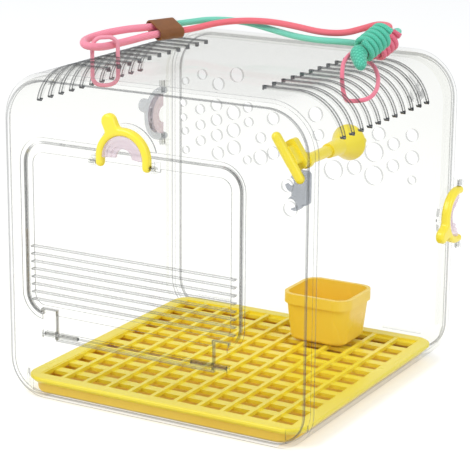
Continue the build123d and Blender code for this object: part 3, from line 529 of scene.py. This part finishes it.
def wall_cuts(tree, spot, lean):
    """Masks of painted shade on the holes' flanks in the front wall, darker at its outer half, and in
    the rear wall.
    """
    along = spot.outputs["Y"]
    cut = add(tree, MATH, (lean, CUT_LEAN), operation="LESS_THAN")
    outside = add(tree, MATH, (along, FRONT_LIP), operation="LESS_THAN")
    shade = add(tree, MATH, (outside, 1 - HOLE_INSIDE, HOLE_INSIDE), operation="MULTIPLY_ADD")
    front = product(tree, cut, between(tree, along, *FRONT_WALL), shade)
    rear = product(tree, cut, between(tree, along, *REAR_WALL))
    return front, rear


def past(tree, value, start):
    """How far a value lies past a start, and 0 before it."""
    beyond = add(tree, MATH, (value, start), operation="SUBTRACT")
    return add(tree, MATH, (beyond, 0.0), operation="MAXIMUM")


def slot_flanks(tree, spot, lean, side, in_rows):
    """A mask of painted shade on the slots' long sides, darkest near the outside of the rounded
    shoulder.
    """
    out, rise = past(tree, side, SHOULDER[0]), past(tree, spot.outputs["Z"], SHOULDER[1])
    squares = [add(tree, MATH, (leg, 2.0), operation="POWER") for leg in (out, rise)]
    reach = add(tree, MATH, (add(tree, MATH, squares, operation="ADD"),), operation="SQRT")
    depth = add(tree, MATH, (reach, SHOULDER_RADIUS), operation="SUBTRACT")
    near = add(tree, MATH, (depth, SLOT_LIP), operation="GREATER_THAN")
    shade = add(tree, MATH, (near, 1 - SLOT_INSIDE, SLOT_INSIDE), operation="MULTIPLY_ADD")
    flank = add(tree, MATH, (lean, FLANK_LEAN), operation="GREATER_THAN")
    return product(tree, flank, between(tree, depth, *SLOT_DEPTH), shade, in_rows)


def square_to(tree, part):
    """1 where a part of the normal is close to 0, else 0."""
    size = add(tree, MATH, (part,), operation="ABSOLUTE")
    return add(tree, MATH, (size, END_LEAN), operation="LESS_THAN")


def slot_ends(tree, spot, face, side, in_rows):
    """A mask of painted shade on the slots' short sides, on the roof and on the sides of the box."""
    high = add(tree, MATH, (spot.outputs["Z"], ROOF_LOW), operation="GREATER_THAN")
    level, plumb = square_to(tree, face.outputs["Z"]), square_to(tree, face.outputs["X"])
    roof_end = product(tree, between(tree, side, *SLOT_ROOF_END), level, high, in_rows)
    side_end = product(tree, between(tree, spot.outputs["Z"], *SLOT_SIDE_END), plumb, in_rows)
    return add(tree, MATH, (roof_end, side_end), operation="MAXIMUM")


def cut_edges(tree):
    """Five masks of painted shade: pierced front and rear wall, slot flanks, slot ends and thin lines on
    the rounded brinks.
    """
    place = add(tree, "ShaderNodeTexCoord")
    spot = add(tree, "ShaderNodeSeparateXYZ", (place.outputs["Object"],))
    face = add(tree, "ShaderNodeSeparateXYZ", (place.outputs["Normal"],))
    lean = add(tree, MATH, (face.outputs["Y"],), operation="ABSOLUTE")
    side = add(tree, MATH, (spot.outputs["X"],), operation="ABSOLUTE")
    in_rows = between(tree, spot.outputs["Y"], *SLOT_ROWS)
    front, rear = wall_cuts(tree, spot, lean)
    slots = slot_flanks(tree, spot, lean, side, in_rows)
    ends = slot_ends(tree, spot, face, side, in_rows)
    brinks = add(tree, MATH, [between(tree, lean, *leans) for leans in BRINK_LEANS], operation="MAXIMUM")
    return front, rear, slots, ends, brinks


# %% Clear plastic
CLEAR_IOR = 1.585
FACING_POWER = 9.0


def clear_plastic(name, tint, body, veil, turned, edges=(), roughness=0.04):
    """veil, turned and edges are the shares of gloss in the colour body on a plain face, at its brink
    and on cuts; body is painted shade on the clear box, and the plastic's own tint with painted shade on
    the tinted ones.
    """
    material = blank(name)
    tree = material.node_tree
    # The share rises where a surface turns away from the eye, which paints a darker line there as
    # painted shade.
    brink = add(tree, "ShaderNodeLayerWeight", {"Blend": 0.5})
    share = add(tree, MATH, (brink.outputs["Facing"], FACING_POWER), operation="POWER")
    share = add(tree, MATH, (share, turned, veil), operation="MULTIPLY_ADD")
    if edges:
        for mask, weight in zip(cut_edges(tree), edges):
            cut = add(tree, MATH, (mask, weight), operation="MULTIPLY")
            share = add(tree, MATH, (share, cut), operation="MAXIMUM")
    through = add(tree, "ShaderNodeBsdfTransparent", {"Color": tint})
    # The gloss layer's grey is painted shade; its specular reflection is real gloss.
    gloss = add(tree, "ShaderNodeBsdfPrincipled", {
        "Base Color": body, "Roughness": roughness, "IOR": CLEAR_IOR,
    })
    mix = add(tree, "ShaderNodeMixShader", (share, through, gloss))
    add(tree, "ShaderNodeOutputMaterial", {"Surface": mix})
    return material


# The shares of painted shade on the five masks, in the order that cut_edges gives them.
PAINTED_CUT_SHADE = (0.7, 0.35, 0.75, 1.0, 0.42)
# The clear box's dark grey gloss colour is painted shade.
CLEAR = clear_plastic("clear_polycarbonate_moulded", srgb("#FEFEFD"), srgb("#4A4D51"),
                      0.013, 0.8, PAINTED_CUT_SHADE)
INSERT = clear_plastic("frosted_polycarbonate_moulded", srgb("#FBF4F8"), srgb("#EFE4EA"),
                       0.4, 0.5, roughness=0.12)
SMOKE = clear_plastic("smoky_polycarbonate_moulded", srgb("#DADCE0"), srgb("#83878D"),
                      0.12, 0.6, roughness=0.08)
GREY = clear_plastic("grey_polycarbonate_moulded", srgb("#EDEEF0"), srgb("#B9BCC0"), 0.14, 0.6)
print("clear finishes:", [material.name for material in (CLEAR, INSERT, SMOKE, GREY)])

# %% [markdown]
# ## Coloured ABS, injection moulded
# The latches, the grate, the tray and the cup are glossy ABS. A mould leaves a
# faint orange-peel on the surface, and the colour is never quite even over a
# large face, so a fine bump and a broad, weak change of colour are mixed in.

# %% Coloured plastic
COLOUR_DRIFT = 40 * MM
ORANGE_PEEL = 1.6 * MM
PEEL_DEPTH = 0.05 * MM
ABS_IOR = 1.53


def gloss_plastic(name, light, deep, roughness=0.24):
    material = blank(name)
    tree = material.node_tree
    place = add(tree, "ShaderNodeTexCoord").outputs["Object"]
    broad = add(tree, "ShaderNodeTexNoise", {"Vector": place, "Scale": 1 / COLOUR_DRIFT, "Detail": 2.0})
    colour = add(tree, "ShaderNodeMix", {0: broad, 6: light, 7: deep}, data_type="RGBA")
    peel = add(tree, "ShaderNodeTexNoise", {"Vector": place, "Scale": 1 / ORANGE_PEEL, "Detail": 1.0})
    bump = add(tree, "ShaderNodeBump", {"Height": peel, "Strength": 0.06, "Distance": PEEL_DEPTH})
    wear = add(tree, "ShaderNodeMapRange", {
        "Value": broad, "To Min": roughness, "To Max": roughness + 0.08,
    })
    surface = add(tree, "ShaderNodeBsdfPrincipled", {
        "Base Color": colour.outputs[2], "Roughness": wear, "IOR": ABS_IOR, "Normal": bump,
    })
    add(tree, "ShaderNodeOutputMaterial", {"Surface": surface})
    return material


YELLOW = gloss_plastic("lemon_abs_moulded", srgb("#FFF04A"), srgb("#FCE230"))
CUP_YELLOW = gloss_plastic("warm_yellow_abs_moulded", srgb("#FFE052"), srgb("#FBCF3A"))
AMBER = gloss_plastic("amber_abs_moulded", srgb("#FFDC58"), srgb("#F4C63C"), roughness=0.35)
print("coloured finishes:", [material.name for material in (YELLOW, CUP_YELLOW, AMBER)])

# %% [markdown]
# ## Braided polyester cord
# The rope has a braided sheath: two sets of strands run round it in opposite
# screws and show as a herringbone of small diamonds. The pattern follows the
# cord's own UV, which runs once along its length and once round it. The hollows
# between the strands are painted a darker colour, as painted shade.

# %% Braided cord
BRAID_STRANDS = 8
BRAID_PEAK = 0.22
BRAID_DEPTH = 0.25 * MM
FIBRE = 0.5 * MM
FIBRE_DEPTH = 0.1 * MM


def braid_height(tree, place, turns):
    """The height of the sheath, where two opposite screws of strands cross."""
    split = add(tree, "ShaderNodeSeparateXYZ", (place.outputs["UV"],))
    waves = []
    for way in (1, -1):
        along = add(tree, MATH, (split.outputs["X"], turns * BRAID_STRANDS * way), operation="MULTIPLY")
        screw = add(tree, MATH, (split.outputs["Y"], BRAID_STRANDS, along), operation="MULTIPLY_ADD")
        waves.append(add(tree, MATH, (screw, 0.5), operation="PINGPONG"))
    return add(tree, "ShaderNodeMapRange", {"Value": product(tree, *waves), "From Max": BRAID_PEAK})


def braided_cord(name, light, deep, length, diameter):
    """length and diameter in metres set how many times the braid repeats."""
    material = blank(name)
    tree = material.node_tree
    place = add(tree, "ShaderNodeTexCoord")
    height = braid_height(tree, place, length / (math.pi * diameter))
    fibre = add(tree, "ShaderNodeTexNoise", {
        "Vector": place.outputs["Object"], "Scale": 1 / FIBRE, "Detail": 3.0,
    })
    # The colour is the cord's own where the braid stands high and a darker painted shade in the hollows
    # between its strands.
    colour = add(tree, "ShaderNodeMix", {0: height, 6: deep, 7: light}, data_type="RGBA")
    low = add(tree, "ShaderNodeBump", {"Height": height, "Strength": 0.5, "Distance": BRAID_DEPTH})
    fine = add(tree, "ShaderNodeBump", {
        "Height": fibre, "Normal": low, "Strength": 0.2, "Distance": FIBRE_DEPTH,
    })
    surface = add(tree, "ShaderNodeBsdfPrincipled", {
        "Base Color": colour.outputs[2], "Normal": fine,
        "Roughness": 0.62, "Sheen Weight": 0.35, "Sheen Roughness": 0.4,
    })
    add(tree, "ShaderNodeOutputMaterial", {"Surface": surface})
    return material


# %% Cord materials
# Each cord's own colour and the darker painted shade for the hollows of its braid.
CORD_COLOURS = {
    "handle_end_loop_cord": ("#FFB3C4", "#EE7F98"),
    "handle_pink_cord": ("#FA8B96", "#E45C6C"),
    "handle_mint_cord": ("#9BE8D6", "#5FC7AB"),
    "right_anchor_cord": ("#FF9DB0", "#E86C88"),
    "left_anchor_cord": ("#FFBCCB", "#F092A8"),
    "mint_winding": ("#74E0C4", "#3BB294"),
    "pink_winding": ("#FB93A6", "#DC5F7C"),
    "mint_knot_stub": ("#6FDCC0", "#37AB8D"),
    "pink_knot_heart": ("#E57790", "#B9425F"),
}


def dress_cords():
    for name, (light, deep) in CORD_COLOURS.items():
        cord = bpy.data.objects[name]
        diameter = 2 * cord.data.splines[0].points[0].radius
        finish = name + "_braided_polyester"
        braid = braided_cord(finish, srgb(light), srgb(deep), line_length(cord), diameter)
        cord.data.materials.append(braid)
    print("cords finished:", len(CORD_COLOURS))


dress_cords()

# %% [markdown]
# ## Leather sleeve
# A flat band of leather holds the two strands side by side. It is a stadium-shaped
# ring drawn out along the strands, given its thickness, with rolled edges. Its
# finish is a fine grain over a soft, cloudy change of brown.

# %% Leather
GRAIN = 0.9 * MM
GRAIN_DEPTH = 0.12 * MM
CLOUD = 7 * MM


def leather(name, light, deep):
    material = blank(name)
    tree = material.node_tree
    place = add(tree, "ShaderNodeTexCoord").outputs["Object"]
    grain = add(tree, "ShaderNodeTexVoronoi", {"Vector": place, "Scale": 1 / GRAIN})
    cloud = add(tree, "ShaderNodeTexNoise", {"Vector": place, "Scale": 1 / CLOUD, "Detail": 3.0})
    colour = add(tree, "ShaderNodeMix", {0: cloud, 6: deep, 7: light}, data_type="RGBA")
    bump = add(tree, "ShaderNodeBump", {"Height": grain, "Strength": 0.35, "Distance": GRAIN_DEPTH})
    surface = add(tree, "ShaderNodeBsdfPrincipled", {
        "Base Color": colour.outputs[2], "Normal": bump, "Roughness": 0.5, "IOR": 1.5,
    })
    add(tree, "ShaderNodeOutputMaterial", {"Surface": surface})
    return material


LEATHER = leather("full_grain_leather_dyed", srgb("#8C541E"), srgb("#66390F"))
print("leather finish:", LEATHER.name)

# %% Sleeve
SLEEVE_LENGTH, SLEEVE_WIDTH, SLEEVE_WALL = 20.5, 18.6, 1.3
SLEEVE_EASE = 0.8
SLEEVE_THICK = THICK_CORD + SLEEVE_EASE + 2 * SLEEVE_WALL
SLEEVE_SIDES, SLEEVE_ROWS = 40, 8
SLEEVE_DIP = 0.10
SLEEVE_EDGE = 0.4


def sleeve_form(side):
    """A ring of two half circles, side millimetres apart on each side, drawn out in rows."""
    form = bmesh.new()
    circle = bmesh.ops.create_circle(form, segments=SLEEVE_SIDES, radius=SLEEVE_THICK / 2)
    for vertex in circle["verts"]:
        vertex.co.x += math.copysign(side, vertex.co.x) if abs(vertex.co.x) > 1e-6 else 0
        vertex.co.z = -SLEEVE_LENGTH / 2
    edges = list(form.edges)
    for row in range(SLEEVE_ROWS):
        made = bmesh.ops.extrude_edge_only(form, edges=edges)["geom"]
        verts = [item for item in made if isinstance(item, bmesh.types.BMVert)]
        bmesh.ops.translate(form, verts=verts, vec=(0, 0, SLEEVE_LENGTH / SLEEVE_ROWS))
        edges = [item for item in made if isinstance(item, bmesh.types.BMEdge)]
    return form


def pinch(form, side):
    """Draws the band in a little between the strands, most at its middle."""
    for vertex in form.verts:
        waist = math.cos(vertex.co.z / SLEEVE_LENGTH * math.pi)
        dip = math.cos(min(abs(vertex.co.x) / side, 1.0) * math.pi / 2)
        vertex.co.y *= 1 - SLEEVE_DIP * waist * dip


def make_sleeve():
    side = (SLEEVE_WIDTH - SLEEVE_THICK) / 2
    form = sleeve_form(side)
    pinch(form, side)
    bmesh.ops.recalc_face_normals(form, faces=form.faces)
    third = SLEEVE_ALONG.cross(SLEEVE_ACROSS).normalized()
    turn = Matrix((SLEEVE_ACROSS, third, SLEEVE_ALONG)).transposed().to_4x4()
    form.transform(Matrix.Scale(MM, 4) @ Matrix.Translation(SLEEVE_MIDDLE) @ turn)
    mesh = bpy.data.meshes.new("leather_band")
    form.to_mesh(mesh)
    form.free()
    mesh.materials.append(LEATHER)
    band = bpy.data.objects.new("leather_band", mesh)
    scene.collection.objects.link(band)
    wall = band.modifiers.new("wall", "SOLIDIFY")
    wall.thickness = SLEEVE_WALL * MM
    wall.offset = -1
    rim = band.modifiers.new("rolled_edge", "BEVEL")
    rim.width = SLEEVE_EDGE * MM
    rim.segments = 3
    rim.limit_method = "ANGLE"
    mesh.shade_smooth()
    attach(band, "body")
    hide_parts("leather_sleeve")
    return band


print("sleeve faces before its wall:", len(make_sleeve().data.polygons))

# %% Give every frame node its material
SLOT_FINISH = {
    "clear_plastic": CLEAR, "yellow_plastic": YELLOW, "cup_plastic": CUP_YELLOW,
    "amber_plastic": AMBER, "grey_plastic": GREY, "smoke_plastic": SMOKE, "brown_leather": LEATHER,
}


def dress_nodes():
    finished = 0
    for part in frame["record"]["subparts"]:
        material = SLOT_FINISH.get(part["material_slot"])
        if part["node"].endswith("latch_insert"):
            material = INSERT
        if material is None:
            continue
        for slot in nodes[part["node"]].material_slots:
            slot.material = material
            finished += 1
    print("node slots finished:", finished)


dress_nodes()
